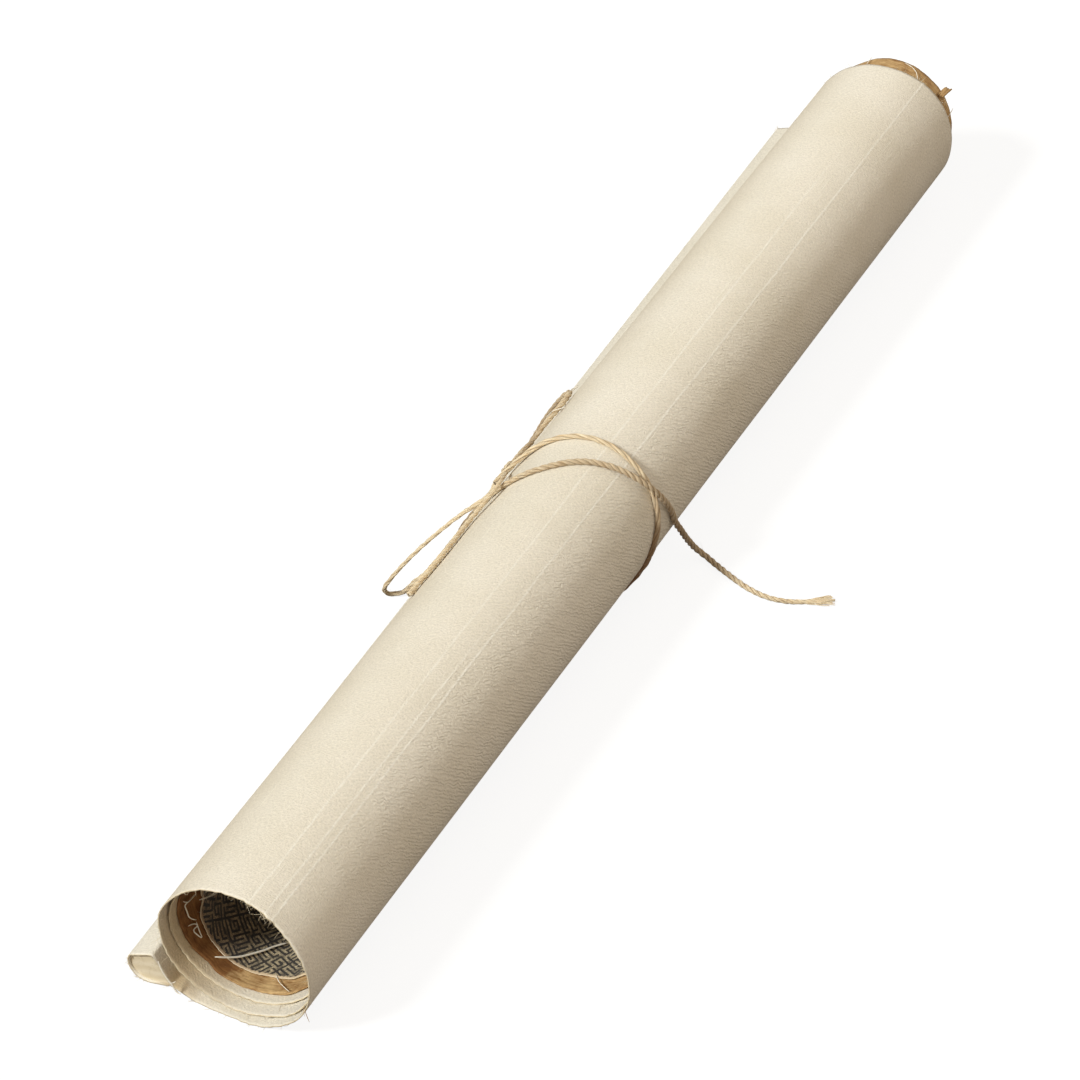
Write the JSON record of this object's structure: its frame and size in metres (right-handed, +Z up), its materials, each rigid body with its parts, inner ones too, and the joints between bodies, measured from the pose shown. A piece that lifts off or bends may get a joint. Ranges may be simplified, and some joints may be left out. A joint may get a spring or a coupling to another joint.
{
  "type": "paper scroll",
  "caption": "Rolled hanging scroll: a cream sheet hemmed round a wooden stave, brown paper and brocade inside it, tied round the middle with natural twine in a bow.",
  "frame": {"origin": "middle of the footprint on the table, with the twine's free stretches left out", "axes": "+X along the roll from the open, stepped end to the far end, +Y towards the hem and its stave, +Z up"},
  "size_m": [0.4672, 0.1317, 0.0543],
  "materials": {
    "cream_linen_paper": "matte",
    "brown_lining_paper": "matte",
    "dark_brocade": "satin",
    "stave_wood": "matte",
    "natural_twine": "matte"
  },
  "bodies": {
    "root": {"cream_sheet": "cream_linen_paper", "brown_paper": "brown_lining_paper", "brocade_sheet": "dark_brocade", "stave": "stave_wood", "twine_wrap": "natural_twine", "twine_over": "natural_twine", "twine_knot": "natural_twine", "twine_tail": "natural_twine", "twine_short_end": "natural_twine", "twine_near_loop": "natural_twine", "twine_far_loop": "natural_twine"}
  },
  "joints": []
}
